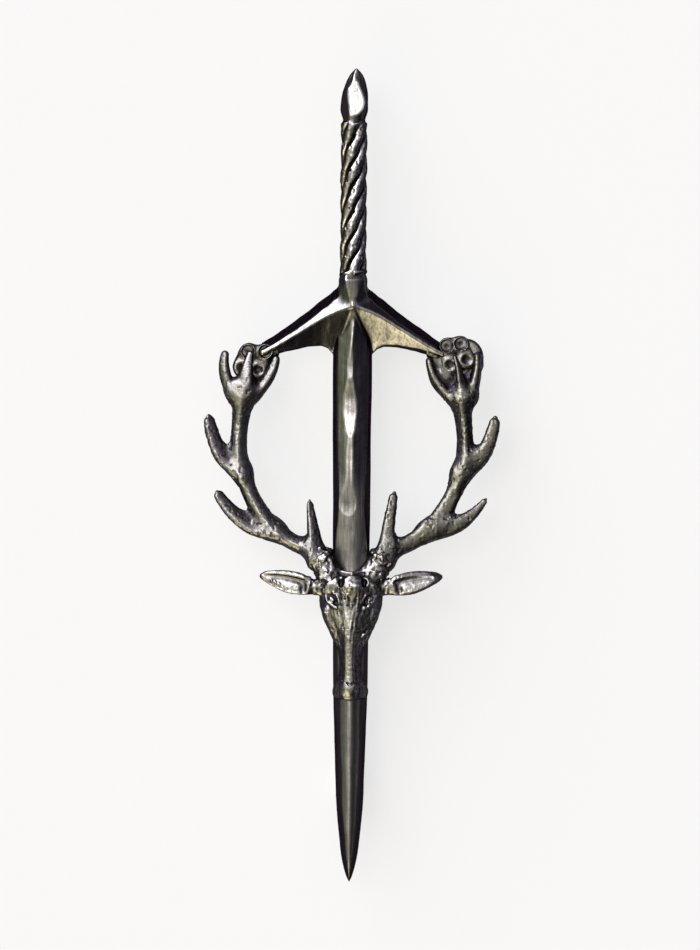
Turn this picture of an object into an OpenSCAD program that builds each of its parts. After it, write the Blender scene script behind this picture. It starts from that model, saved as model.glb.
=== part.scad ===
// Kilt pin: a sword with a stag's head on its blade, cast in one piece, with a plain bar pin behind it.
// It lies on the feet of the bar pin. X is across, +Y runs from the blade's point to the pommel,
// and +Z is the way the stag looks. Millimetres.

/* [Hilt] */
// Length of the pommel, from its point to the grip
pommel_len = 6.8; // [6:0.1:8]
// Thickness across the pommel
pommel_d = 3.4; // [3:0.1:3.8]
// Length of the twisted grip
grip_len = 18.8; // [16:0.2:22]
// Thickness across the grip's strands
grip_d = 3.3; // [2.8:0.1:3.6]
// Number of strands twisted into the grip
strands = 5; // [4:1:6]
// Length along the grip in which a strand goes once round
twist_lead = 15; // [12:0.5:20]
// Depth of the grooves between the strands
groove = 0.5; // [0.3:0.05:0.6]
// Length of the collar, from the grip to the guard's peak
collar_len = 3.6; // [3.2:0.1:4.4]
// Thickness across the collar's flats
collar_d = 3.5; // [3.2:0.1:3.9]

/* [Guard] */
// Distance from the middle to the centre of each quatrefoil
arm_reach = 12.3; // [11.4:0.1:13.2]
// Drop from the guard's peak to the quatrefoils' centres
arm_drop = 6.1; // [5.5:0.1:6.7]
// Height of the guard's peak above the flat back
guard_h = 3.3; // [2.9:0.1:3.8]
// Radius of each of the four lobes of a quatrefoil
lobe_r = 1; // [0.85:0.05:1.15]
// Height of a lobe's rim above the flat back
lobe_h = 2.1; // [1.7:0.1:2.5]
// Depth of the dimple in each lobe
dimple = 0.5; // [0.3:0.05:0.7]

/* [Blade] */
// Length of the blade, from the guard's peak to its point
blade_len = 70.8; // [66:0.2:76]
// Width of the blade below the guard
blade_w = 5; // [4.4:0.1:5.6]
// Height of the blade's ridge above its flat back
blade_h = 2.4; // [2:0.1:2.8]
// Height of the blade's edges above its flat back
blade_edge = 0.9; // [0.7:0.05:1.1]

/* [Stag] */
// Distance from the guard's peak down to the top of the stag's head
head_drop = 31.2; // [29:0.2:33]
// Length of the head, from its crown to its chin
head_len = 17.2; // [15.5:0.1:19]
// Width of the head at the eyes
head_w = 8.1; // [7.2:0.1:9]
// Height of the brow above the flat back
head_h = 5.9; // [5.2:0.1:6.6]
// Length of an ear, from its root inside the head to its point
ear_len = 8.2; // [7.4:0.1:9]
// Width of an ear
ear_w = 3; // [2.6:0.1:3.4]
// Thickness of an ear
ear_t = 1.3; // [1.1:0.1:1.6]

/* [Antlers] */
// Distance from the middle to the foot of each antler
antler_foot = 3.6; // [3.2:0.1:4]
// Distance from the middle to the outermost stretch of each main beam
beam_reach = 13.9; // [13.2:0.1:14.6]
// Distance from the middle to the outermost point of the upper side tine
antler_reach = 18.1; // [17.2:0.1:19]
// Thickness of a main beam
beam_d = 2.1; // [1.8:0.05:2.3]
// Length of the tine that stands beside the blade
brow_tine = 7.8; // [6.8:0.1:8.8]
// Length of the crown, from the top of the beam to the middle of the quatrefoil
crown_len = 5.7; // [5.2:0.1:6.2]
// Width of the crown, from its outer to its inner tine
crown_w = 7.2; // [6.6:0.1:7.8]

/* [Bar pin] */
// Height of the flat back above the surface that the pin lies on
stand_h = 5; // [4.6:0.1:5.6]
// Thickness of the solder line between the bar and the flat back
seat_gap = 0.05; // [0.02:0.01:0.1]
// Thickness of the bar
bar_t = 0.8; // [0.6:0.1:1]
// Width of the bar
bar_w = 2.4; // [2:0.1:2.8]
// Distance from the guard's peak down to the hinge block
hinge_drop = 4.5; // [3.5:0.5:6]
// Distance between the hinge block and the catch
pin_span = 54; // [50:1:56]
// Width of the hinge block
hinge_w = 4.2; // [3.8:0.1:4.4]
// Width of the catch
catch_w = 3.3; // [3:0.1:3.5]
// Length of each block along the blade
block_len = 3.4; // [3:0.1:4]
// Thickness of the needle
needle_d = 1.2; // [1:0.05:1.4]
// Height of the needle's middle above the surface that the pin lies on
needle_z = 1.6; // [1.5:0.05:1.8]
// Length of the needle's cone
needle_cone = 4; // [3:0.5:5]
// Clearance round the needle in the catch
catch_gap = 0.25; // [0.2:0.05:0.3]

/* [Hidden] */

overall_len = pommel_len + grip_len + collar_len + blade_len;
top_y = overall_len / 2;
grip_y = top_y - pommel_len;
collar_y = grip_y - grip_len;
peak_y = collar_y - collar_len;
foil_y = peak_y - arm_drop;
head_y = peak_y - head_drop;
// How much further out than the beam the side tines reach
tine_reach = antler_reach - beam_reach;

function mix(a, b, t) = a + (b - a) * t;
function curve3(a, b, c, t) = mix(mix(a, b, t), mix(b, c, t), t);
function curve4(a, b, c, d, t) = mix(curve3(a, b, c, t), curve3(b, c, d, t), t);
function bell(x) = exp(-x * x);

// Value of column col at position x, read between the rows of a table whose first column rises
function row_before(table, x, i) =
    i + 2 < len(table) && table[i + 1][0] <= x ? row_before(table, x, i + 1) : i;
function at(table, x, col) =
    let (i = row_before(table, x, 0),
         t = (x - table[i][0]) / (table[i + 1][0] - table[i][0]))
    mix(table[i][col], table[i + 1][col], min(1, max(0, t)));

// Solid skin over rings of equal length, closed at both ends. Each ring runs anticlockwise as seen from the
// first one's side, and crossed turns the diagonals of the facets.
module loft(rings, crossed = false) {
    n = len(rings[0]);
    last = (len(rings) - 1) * n;
    sides = [for (i = [0:len(rings) - 2], j = [0:n - 1])
        let (a = i * n + j, b = i * n + (j + 1) % n)
        each crossed ? [[b, a, a + n], [b + n, b, a + n]] : [[b, a, b + n], [b + n, a, a + n]]];
    polyhedron([for (r = rings) each r],
        concat(sides, [[for (j = [0:n - 1]) j], [for (j = [n - 1:-1:0]) last + j]]), convexity = 8);
}

// Tapering limb through rows of [x, y, height of its middle, half width, half thickness], flat behind
module limb(rows, arcs = 6) {
    last = len(rows) - 1;
    foot_share = 0.8;
    loft([for (i = [0:last])
        let (d = rows[min(last, i + 1)] - rows[max(0, i - 1)],
             across = [d[1], -d[0]] / norm([d[0], d[1]]),
             r = rows[i],
             arch = [for (k = [0:arcs]) [-r[3] * cos(180 * k / arcs), r[2] + r[4] * sin(180 * k / arcs)]])
        [for (q = concat([[-r[3] * foot_share, 0]], arch, [[r[3] * foot_share, 0]]))
            [r[0] + across[0] * q[0], r[1] + across[1] * q[0], q[1]]]]);
}

// Limb along a curve led by four points, each [x, y, z], whose thickness goes from d0 to d1, with a round end
limb_steps = [0, 0.14, 0.28, 0.42, 0.56, 0.7, 0.82, 0.91, 0.97, 1];

module curved_limb(a, b, c, d, d0, d1, arcs = 5) {
    limb([for (t = limb_steps)
        let (end = t < 0.8 ? 1 : sqrt(1.02 - pow((t - 0.8) / 0.2, 2)),
             r = mix(d0, d1, t) / 2 * end)
        concat(curve4(a, b, c, d, t), [r, r])], arcs);
}

module both_sides() {
    children();
    mirror([1, 0, 0]) children();
}

// Pommel: a round ogive whose point is drawn to four ridges

pommel_table = [
    // share of its length from the point, share of its radius
    [0, 0.04],
    [0.1, 0.38],
    [0.22, 0.6],
    [0.33, 0.75],
    [0.45, 0.87],
    [0.56, 0.95],
    [0.68, 1],
    [0.78, 0.99],
    [0.86, 0.94],
    [0.92, 0.84],
    [1, 0.82],
    [1.06, 0.8]];

module pommel() {
    sides = 16;
    loft([for (row = pommel_table)
        let (ridge = 0.16 * (1 - min(1, row[0] * 1.6)))
        [for (k = [0:sides - 1])
            let (a = 360 * k / sides,
                 r = pommel_d / 2 * row[1] * (1 + ridge * cos(4 * a)))
            [r * cos(a), top_y - pommel_len * row[0], pommel_d / 2 + r * sin(a)]]]);
}

// Grip: strands twisted round each other, whose grooves run along the rows of corners

function strand_r(turn, y) =
    let (fade = min(1, min(grip_y - y, y - collar_y) / (0.27 * grip_d) + 0.25))
    grip_d / 2 - groove * fade * (1 - pow(abs(cos(strands / 2 * turn)), 0.8));

module grip() {
    sides = 6 * strands;
    steps = 30;
    loft([for (i = [0:steps])
        let (y = mix(grip_y, collar_y, i / steps),
             twist = 360 * (y - collar_y) / twist_lead)
        [for (k = [0:sides - 1])
            let (turn = 360 * k / sides,
                 r = strand_r(turn, y),
                 a = turn - twist)
            [r * cos(a), y, grip_d / 2 + r * sin(a)]]], crossed = true);
}

// Collar: flats whose front one narrows to the guard's peak

collar_table = [
    // share of its length from the grip; half width, half width of the front flat, height of the shoulders
    // and height of the front flat, as shares of its thickness
    [-0.12, 0.4, 0.2, 0.66, 0.86],
    [0, 0.47, 0.24, 0.7, 0.95],
    [0.12, 0.5, 0.25, 0.72, 1],
    [0.4, 0.49, 0.2, 0.7, 0.98],
    [0.7, 0.5, 0.12, 0.66, 0.96],
    [1, 0.56, 0.02, 0.56, 0.92]];

module collar() {
    loft([for (row = collar_table)
        let (y = collar_y - collar_len * row[0],
             w = collar_d * row[1],
             front = collar_d * row[2],
             shoulder = collar_d * row[3],
             h = collar_d * row[4])
        [[w * 0.7, y, 0], [w, y, shoulder * 0.3], [w, y, shoulder], [front, y, h],
         [-front, y, h], [-w, y, shoulder], [-w, y, shoulder * 0.3], [-w * 0.7, y, 0]]]);
}

// Guard: two arms of diamond section that fall away from a peak, each ending in a quatrefoil

arm_table = [
    // reach; drops of the lower edge, the ridge and the upper edge; heights of the ridge and the edges
    [0, 1.2, 0, -0.44, 1, 0.36],
    [0.195, 1.15, 0.14, -0.15, 0.93, 0.34],
    [0.215, 0.96, 0.155, -0.12, 0.92, 0.34],
    [0.25, 0.86, 0.18, -0.07, 0.9, 0.34],
    [0.31, 0.81, 0.25, 0.02, 0.88, 0.33],
    [0.45, 0.83, 0.43, 0.24, 0.82, 0.31],
    [0.64, 0.92, 0.67, 0.51, 0.74, 0.28],
    [0.8, 1.01, 0.86, 0.74, 0.66, 0.26],
    [0.9, 1.06, 0.97, 0.86, 0.6, 0.26]];

function arm_ring(row, side) =
    let (chamfer = 0.06 * guard_h,
         x = side * arm_reach * row[0],
         low = peak_y - arm_drop * row[1],
         ridge = peak_y - arm_drop * row[2],
         high = peak_y - arm_drop * row[3],
         peak_z = guard_h * row[4],
         edge_z = guard_h * row[5])
    [[x, low + chamfer, 0], [x, high - chamfer, 0], [x, high, chamfer], [x, high, edge_z],
     [x, ridge, peak_z], [x, low, edge_z], [x, low, chamfer]];

module guard() {
    last = len(arm_table) - 1;
    loft(concat(
        [for (i = [last:-1:0]) arm_ring(arm_table[i], -1)],
        [for (i = [1:last]) arm_ring(arm_table[i], 1)]));
}

module lobe() {
    rim = 0.2 * lobe_r;
    rotate_extrude($fn = 16)
        polygon([[0, 0], [lobe_r, 0], [lobe_r, lobe_h - rim], [lobe_r - rim, lobe_h],
                 [lobe_r - 2 * rim, lobe_h - dimple], [0, lobe_h - dimple]]);
}

module quatrefoil() {
    turn = 10;
    translate([arm_reach, foil_y, 0])
        rotate(turn) {
            for (a = [45:90:315])
                rotate(a) translate([lobe_r * 1.46, 0, 0]) lobe();
            hull()
                for (a = [0:90:270])
                    rotate(a) translate([lobe_r * 0.9, 0, 0])
                        cylinder(r = lobe_r * 0.4, h = lobe_h - dimple, $fn = 8);
        }
}

// Blade: flat behind, ridged in front, and rounder towards its point

blade_table = [
    // share of its length from the peak, share of its width, share of its height, roundness
    [0, 0.9, 1.14, 0],
    [0.035, 0.95, 1.1, 0],
    [0.08, 0.98, 1.02, 0],
    [0.2, 0.97, 1, 0.1],
    [0.335, 0.93, 1, 0.35],
    [0.44, 0.9, 0.99, 0.7],
    [0.68, 0.84, 0.97, 0.8],
    [0.755, 0.79, 0.95, 0.8],
    [0.82, 0.72, 0.92, 0.8],
    [0.86, 0.68, 0.89, 0.8],
    [0.893, 0.61, 0.84, 0.8],
    [0.928, 0.51, 0.77, 0.8],
    [0.946, 0.45, 0.71, 0.8],
    [0.962, 0.37, 0.64, 0.8],
    [0.98, 0.25, 0.53, 0.8],
    [0.994, 0.11, 0.42, 0.8],
    [1, 0.03, 0.36, 0.8]];

module blade() {
    facets = 10;
    undercut = 0.9;
    loft([for (row = blade_table)
        let (y = peak_y - blade_len * row[0],
             w = blade_w / 2 * row[1],
             h = blade_h * row[2],
             edge = blade_edge * min(1, row[2]),
             power = 1.1 + 0.8 * row[3])
        concat(
            [[w * undercut, y, 0], [w, y, edge * 0.3]],
            [for (k = [facets / 2:-1:-facets / 2])
                let (u = k / (facets / 2))
                [w * u, y, edge + (h - edge) * (1 - pow(abs(u), power))]],
            [[-w, y, edge * 0.3], [-w * undercut, y, 0]])]);
}

// Stag's head: a domed relief, whose features are bells added to the dome

head_table = [
    // share of its length from the crown, share of its width, share of its height, squareness
    [0, 0.62, 0.46, 2.2],
    [0.05, 0.78, 0.62, 2.3],
    [0.1, 0.88, 0.76, 2.4],
    [0.17, 0.95, 0.88, 2.5],
    [0.25, 1, 0.96, 2.5],
    [0.32, 0.97, 0.99, 2.4],
    [0.4, 0.9, 0.99, 2.3],
    [0.45, 0.8, 0.97, 2.1],
    [0.507, 0.67, 0.93, 1.9],
    [0.56, 0.545, 0.9, 1.8],
    [0.61, 0.44, 0.86, 1.8],
    [0.66, 0.37, 0.83, 1.8],
    [0.73, 0.33, 0.8, 1.9],
    [0.83, 0.345, 0.77, 2.2],
    [0.89, 0.42, 0.76, 2.6],
    [0.93, 0.49, 0.74, 2.8],
    [0.955, 0.48, 0.69, 2.8],
    [0.975, 0.44, 0.61, 2.8],
    [0.99, 0.37, 0.51, 2.6],
    [1, 0.26, 0.4, 2.4]];

feature_table = [
    // share along, share across, reach along, reach across, rise as a share of the head's height
    [0.15, 0, 0.045, 0.3, 0.07],
    [0.33, 0.17, 0.12, 0.1, 0.05],
    [0.29, 0, 0.07, 0.06, -0.05],
    [0.22, 0.5, 0.03, 0.2, 0.07],
    [0.29, 0.48, 0.04, 0.14, -0.1],
    [0.37, 0.55, 0.04, 0.16, 0.05],
    [0.45, 0.42, 0.06, 0.12, -0.05],
    [0.66, 0, 0.2, 0.08, 0.05],
    [0.89, 0.2, 0.022, 0.08, -0.09],
    [0.92, 0.3, 0.03, 0.12, 0.04],
    [0.955, 0, 0.025, 0.12, 0.03]];

function head_rise(u, s) =
    let (w = at(head_table, s, 1),
         x = abs(u) * w,
         dome = pow(max(0, 1 - pow(abs(u), at(head_table, s, 3))), 0.62))
    at(head_table, s, 2) * (0.12 + 0.88 * dome)
    + dome * feature_sum(x, s);

function feature_sum(x, s, i = 0) =
    i == len(feature_table) ? 0 :
    let (f = feature_table[i])
    f[4] * bell((s - f[0]) / f[2]) * (bell((x - f[1]) / f[3]) + (f[1] == 0 ? 0 : bell((x + f[1]) / f[3])))
    + feature_sum(x, s, i + 1);

module head() {
    steps = 36;
    columns = 11;
    loft([for (i = [0:steps])
        let (s = mix(i / steps, (1 - cos(180 * i / steps)) / 2, 0.4),
             y = head_y - head_len * s,
             w = head_w / 2 * at(head_table, s, 1))
        concat([[w * 0.96, y, 0]],
            [for (k = [columns:-1:-columns])
                let (u = sin(90 * k / columns))
                [w * u, y, head_h * head_rise(u, s)]],
            [[-w * 0.96, y, 0]])]);
}

// Ear: a leaf, dished in front, that stands out from the side of the head

ear_table = [
    // share of its length from the root, share of its width above and below the midline, share of the dish
    [0, 0.16, 0.16, 0],
    [0.2, 0.2, 0.24, 0.1],
    [0.32, 0.34, 0.46, 0.7],
    [0.45, 0.42, 0.56, 1],
    [0.6, 0.43, 0.55, 1],
    [0.74, 0.38, 0.45, 0.9],
    [0.86, 0.29, 0.28, 0.7],
    [0.94, 0.18, 0.14, 0.4],
    [1, 0.04, 0.03, 0]];

module ear() {
    root = [antler_foot * 0.78, head_y - 0.15 * head_len, 0.62 * head_h];
    tilt = 4;
    droop = 0.12 * ear_len;
    columns = 6;
    loft([for (row = ear_table)
        let (x = ear_len * row[0],
             up = ear_w * row[1],
             down = ear_w * row[2],
             t = ear_t * mix(1, 0.55, row[0]))
        concat(
            [for (k = [columns:-1:0])
                let (u = 2 * k / columns - 1,
                     y = u > 0 ? up * u : down * u,
                     dish = 0.62 * t * row[3] * bell(u * 1.25))
                [root.x + x * cos(tilt) - y * sin(tilt), root.y + y * cos(tilt) + x * sin(tilt),
                 root.z - droop * row[0] + t / 2 * (1 - 0.5 * u * u) - dish]],
            [for (k = [1:columns - 1])
                let (u = 2 * k / columns - 1,
                     y = (u > 0 ? up * u : down * u) * 0.95)
                [root.x + x * cos(tilt) - y * sin(tilt), root.y + y * cos(tilt) + x * sin(tilt),
                 root.z - droop * row[0] - t / 2 * (1 - 0.5 * u * u)]])]);
}

// Antler: a main beam on a pedicle, a brow tine, two side tines and a crown of three tines

beam_table = [
    // share of the reach, share of the rise from the crown of the head to the quatrefoil; height of its
    // middle above the flat back and thickness, as shares of the beam's thickness
    [0.262, -0.01, 1.19, 1.15],
    [0.325, 0.03, 1.1, 1.1],
    [0.398, 0.056, 1, 1.05],
    [0.47, 0.073, 0.93, 1],
    [0.54, 0.092, 0.86, 0.98],
    [0.676, 0.142, 0.74, 1.05],
    [0.791, 0.219, 0.64, 1.04],
    [0.884, 0.307, 0.6, 0.95],
    [0.95, 0.394, 0.55, 0.97],
    [0.994, 0.488, 0.52, 1.06],
    [1, 0.586, 0.52, 0.96],
    [0.99, 0.66, 0.52, 0.98],
    [0.975, 0.733, 0.55, 1.12],
    [0.955, 0.78, 0.57, 1.2]];

antler_rise = foil_y - head_y;
foot = [antler_foot, head_y, 1.1 * beam_d];
beam_end = [beam_reach * 0.965, foil_y - crown_len];

function beam_point(share) =
    let (xyz = [for (row = beam_table) [row[1], row[0], row[2]]])
    [beam_reach * at(xyz, share, 1), head_y + antler_rise * share, beam_d * at(xyz, share, 2)];

module beam() {
    limb([for (row = beam_table)
        let (r = beam_d / 2 * row[3])
        [beam_reach * row[0], head_y + antler_rise * row[1], beam_d * row[2], r, r]], 8);
}

// Pedicle: the rough stump that joins the antler's foot to the skull

pedicle_table = [
    // distance from the middle as a share of the antler foot's; distance up from the crown of the head,
    // height and radius, as shares of the beam's thickness
    [0.7, -0.9, 1.05, 0.76],
    [0.88, -0.33, 1.1, 0.71],
    [1.08, 0.14, 1.05, 0.55]];

module pedicle() {
    hull()
        for (row = pedicle_table)
            translate([antler_foot * row[0], head_y + beam_d * row[1], 0]) {
                translate([0, 0, beam_d * row[2]]) sphere(r = beam_d * row[3], $fn = 10);
                cylinder(r = beam_d * row[3] * 0.9, h = beam_d * row[2], $fn = 10);
            }
}

// Tine along a curve that leaves root in the direction out and comes to tip from the direction in
module tine(root, out, in, tip, d0, d1) {
    curved_limb(root, root + out, tip - in, tip, d0, d1);
}

module tines() {
    // brow tine
    tine(foot + brow_tine * [0.077, -0.026, 0], brow_tine * [0.02, 0.27, 0.04],
        brow_tine * [0.045, 0.4, -0.01], foot + brow_tine * [0.205, 1, 0.04],
        beam_d * 0.94, beam_d * 0.4);
    // lower side tine
    tine(beam_point(0.15) - beam_d * [0.14, 0, 0.05], tine_reach * [0.64, -0.17, 0.02],
        tine_reach * [0.36, 0.6, 0.05],
        [antler_reach * 0.912, head_y + antler_rise * 0.325, beam_d * 0.67],
        beam_d * 1.02, beam_d * 0.46);
    // upper side tine
    tine(beam_point(0.44) - beam_d * [0.14, 0.1, 0.05], tine_reach * [0.52, 0.26, 0.02],
        tine_reach * [0.17, 1, 0.05],
        [antler_reach - beam_d * 0.21, head_y + antler_rise * 0.7, beam_d * 0.67],
        beam_d * 1.02, beam_d * 0.66);
}

// Crown: a cup that widens from the beam and splits into three tines

cup_table = [
    // share of the crown's length from its foot, share of its width on the inner and on the outer side,
    // thickness as a share of the beam's
    [-0.25, 0.13, 0.15, 0.93],
    [-0.1, 0.15, 0.19, 0.95],
    [0.03, 0.28, 0.25, 1.05],
    [0.18, 0.4, 0.32, 1.1],
    [0.33, 0.44, 0.35, 1.05],
    [0.42, 0.44, 0.355, 0.81]];

function crown_point(along, across, z) =
    [beam_end[0] + across * crown_w, beam_end[1] + along * crown_len, z * beam_d];

module crown() {
    limb([for (row = cup_table)
        let (p = crown_point(row[0], (row[2] - row[1]) / 2, row[3] / 2))
        [p.x, p.y, p.z, crown_w * (row[1] + row[2]) / 2, p.z]], 8);
    curved_limb(crown_point(0.05, 0.13, 0.48), crown_point(0.5, 0.34, 0.62), crown_point(0.85, 0.36, 0.67),
        crown_point(1.1, 0.3, 0.71), beam_d * 0.71, beam_d * 0.48);
    curved_limb(crown_point(-0.05, 0.01, 0.52), crown_point(0.5, 0.02, 0.9), crown_point(0.85, -0.06, 1.05),
        crown_point(1.08, -0.12, 0.95), beam_d * 0.81, beam_d * 0.33);
    curved_limb(crown_point(0.08, -0.16, 0.48), crown_point(0.45, -0.43, 0.62), crown_point(0.7, -0.52, 0.67),
        crown_point(0.95, -0.56, 0.67), beam_d * 0.71, beam_d * 0.48);
}

// Round notch in the top of the head, in which the blade's upper stretch ends
module crown_notch() {
    translate([0, head_y + 0.06 * head_len, blade_edge])
        cylinder(r = blade_w * 0.51, h = head_h, $fn = 28);
}

// Root of the ear, as a muscle that runs into the side of the head
module ear_root() {
    y = head_y - 0.15 * head_len;
    hull() {
        translate([antler_foot * 0.72, y, 0.4 * head_h]) sphere(r = 0.16 * head_w, $fn = 8);
        translate([antler_foot * 1.2, y, 0.56 * head_h]) sphere(r = 0.08 * head_w, $fn = 8);
    }
}

module eye() {
    r = 0.046 * head_w;
    translate([0.23 * head_w, head_y - 0.287 * head_len, 0.8 * head_h])
        hull() {
            translate([r / 2, r / 3, 0]) sphere(r = r, $fn = 8);
            translate([-r / 2, -r / 3, 0]) sphere(r = r, $fn = 8);
        }
}

module casting() {
    color("dimgray")
        translate([0, 0, stand_h])
            intersection() {
                union() {
                    pommel();
                    grip();
                    collar();
                    guard();
                    blade();
                    difference() {
                        union() {
                            head();
                            both_sides() pedicle();
                        }
                        crown_notch();
                    }
                    both_sides() {
                        quatrefoil();
                        ear_root();
                        ear();
                        eye();
                        beam();
                        tines();
                        crown();
                    }
                }
                translate([-2 * antler_reach, -overall_len, 0])
                    cube([4 * antler_reach, 2 * overall_len, 3 * head_h]);
            }
}

// Bar pin: one piece, with a bar soldered along the blade's back, a hinge block that carries the needle,
// and a catch, open at one side, in which the needle's free end lies

module bar_pin() {
    bar_top = stand_h - seat_gap;
    hinge_y = peak_y - hinge_drop;
    catch_y = hinge_y - pin_span;
    overhang = block_len * 0.68;
    color("silver") {
        translate([-bar_w / 2, catch_y - overhang, bar_top - bar_t])
            cube([bar_w, pin_span + 2 * overhang, bar_t]);
        translate([-hinge_w / 2, hinge_y - block_len / 2, 0])
            cube([hinge_w, block_len, bar_top - bar_t / 2]);
        difference() {
            translate([-catch_w / 2, catch_y - block_len / 2, 0])
                cube([catch_w, block_len, bar_top - bar_t / 2]);
            translate([0, catch_y + block_len, needle_z])
                rotate([90, 0, 0])
                    cylinder(d = needle_d + 2 * catch_gap, h = 2 * block_len, $fn = 32);
            translate([0, catch_y - block_len, needle_z - needle_d / 2 - catch_gap / 2])
                cube([catch_w, 2 * block_len, needle_d + catch_gap]);
        }
        translate([0, hinge_y, needle_z])
            rotate([90, 0, 0]) {
                cylinder(d = needle_d, h = pin_span - needle_cone / 2, $fn = 32);
                translate([0, 0, pin_span - needle_cone / 2])
                    cylinder(d1 = needle_d, d2 = needle_d / 6, h = needle_cone, $fn = 32);
            }
    }
}

casting();
bar_pin();
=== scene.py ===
"""Kilt pin: a sword with a stag's head on its blade, cast in one piece and polished, with a plain bar pin.

The cast pieces are modelled as clay: a grid of signed distances in millimetres, joined, cut and roughened,
then turned into a mesh. Their heights are measured from the casting's flat back.
"""

import math

import bpy
import numpy as np
import openvdb as vdb
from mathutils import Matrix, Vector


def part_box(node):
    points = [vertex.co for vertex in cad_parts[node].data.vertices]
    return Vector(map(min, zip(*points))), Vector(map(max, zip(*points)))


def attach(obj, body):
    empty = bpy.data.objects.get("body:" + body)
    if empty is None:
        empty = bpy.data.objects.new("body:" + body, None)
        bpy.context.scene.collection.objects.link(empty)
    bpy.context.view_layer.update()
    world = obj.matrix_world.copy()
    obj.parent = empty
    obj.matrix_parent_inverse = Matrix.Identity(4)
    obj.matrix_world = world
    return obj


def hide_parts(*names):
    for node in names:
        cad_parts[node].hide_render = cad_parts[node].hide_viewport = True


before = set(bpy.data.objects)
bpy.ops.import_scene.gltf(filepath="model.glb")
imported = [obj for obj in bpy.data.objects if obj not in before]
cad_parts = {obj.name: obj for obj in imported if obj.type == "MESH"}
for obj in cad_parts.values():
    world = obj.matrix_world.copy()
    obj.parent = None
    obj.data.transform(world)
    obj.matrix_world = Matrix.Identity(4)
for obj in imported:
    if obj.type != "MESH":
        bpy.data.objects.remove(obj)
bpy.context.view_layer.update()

MM = 0.001
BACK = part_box("casting")[0].z / MM
FAR = 3.0  # stands for any larger distance
RELIEF = {"fine_relief": 0.16, "broad_relief": 0.5}  # how far round a point each one looks

# Places along the pin, in millimetres
TOP = 50.0
GRIP_TOP = 43.2
COLLAR_TOP = 24.4
PEAK = 20.8
FOIL = 14.7
CROWN = -10.4
CHIN = -27.6
POINT = -50.0


# Curves and steps


def between(table, column):
    """Smooth curve through one column of a table whose first column rises."""
    x, y = np.array([(row[0], row[column]) for row in table]).T
    slope = np.gradient(y, x)

    def value(at):
        at = np.clip(at, x[0], x[-1])
        i = np.clip(np.searchsorted(x, at) - 1, 0, len(x) - 2)
        width = x[i + 1] - x[i]
        t = (at - x[i]) / width
        return (
            y[i] * (1 + 2 * t) * (1 - t) ** 2
            + y[i + 1] * t * t * (3 - 2 * t)
            + width * (slope[i] * t * (1 - t) ** 2 - slope[i + 1] * t * t * (1 - t))
        )

    return value


def straight(table, column):
    """Straight stretches between the rows of one column of a table."""
    x, y = np.array([(row[0], row[column]) for row in table]).T
    return lambda at: np.interp(at, x, y)


def fade(x, low, high):
    """From 0 at low to 1 at high, softly."""
    t = np.clip((x - low) / (high - low), 0, 1)
    return t * t * (3 - 2 * t)


def bell(x):
    """1 at 0, and about 0 beyond 2 and -2."""
    return np.exp(-x * x)


def bezier(a, b, c, d, steps):
    """Points along a curve from a to d, led by b and c."""
    t = np.linspace(0, 1, steps)[:, None]
    a, b, c, d = (np.array(p, float) for p in (a, b, c, d))
    return a * (1 - t) ** 3 + 3 * b * t * (1 - t) ** 2 + 3 * c * t * t * (1 - t) + d * t**3


def spline(points, steps):
    """Smooth curve through the points, with steps stretches between each two."""
    p = np.array(points, float)
    p = np.vstack([2 * p[0] - p[1], p, 2 * p[-1] - p[-2]])
    t = np.linspace(0, 1, steps, endpoint=False)[:, None]
    parts = []
    for i in range(1, len(p) - 2):
        a, b, c, d = p[i - 1 : i + 3]
        square = (2 * a - 5 * b + 4 * c - d) * t**2
        cube = (3 * b - a - 3 * c + d) * t**3
        parts.append(0.5 * (2 * b + (c - a) * t + square + cube))
    return np.vstack(parts + [p[-2:-1]])


# Noise

# Large odd numbers that stir a cell's place, the seed and the result
STIRS = (73856093, 19349663, 83492791)
SEED_STIR = 2654435761
LAST_STIRS = (1274126177, 668265263)


def lumps(x, y, z, size, seed):
    """Smooth noise from -1 to 1 whose lumps are about size apart, the same in each run."""
    cell, part = [], []
    for v in (x, y, z):
        v = np.asarray(v, np.float64) / size
        whole = np.floor(v)
        share = v - whole
        cell.append(whole.astype(np.int64))
        part.append(share * share * (3 - 2 * share))

    def along(a, b, t):
        return a + (b - a) * t

    def corner(*steps):
        h = seed * SEED_STIR
        for whole, step, stir in zip(cell, steps, STIRS):
            h = h ^ (whole + step) * stir
        h = (h ^ (h >> 13)) * LAST_STIRS[0] & 0xFFFFFFFF
        h = (h ^ (h >> 16)) * LAST_STIRS[1] & 0xFFFFFFFF
        return (h & 0xFFFF) / 32767.5 - 1

    def row(j, k):
        return along(corner(0, j, k), corner(1, j, k), part[0])

    def sheet(k):
        return along(row(0, k), row(1, k), part[1])

    return along(sheet(0), sheet(1), part[2])


# Clay


def joined(a, b, blend):
    """Lower of two distances, with the crease between them filled over blend."""
    if blend <= 0:
        return np.minimum(a, b)
    h = np.maximum(blend - np.abs(a - b), 0) / blend
    return np.minimum(a, b) - h * h * blend / 4


def common(a, b, blend):
    """Higher of two distances, with the edge between them rounded over blend."""
    return -joined(-a, -b, blend)


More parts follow.
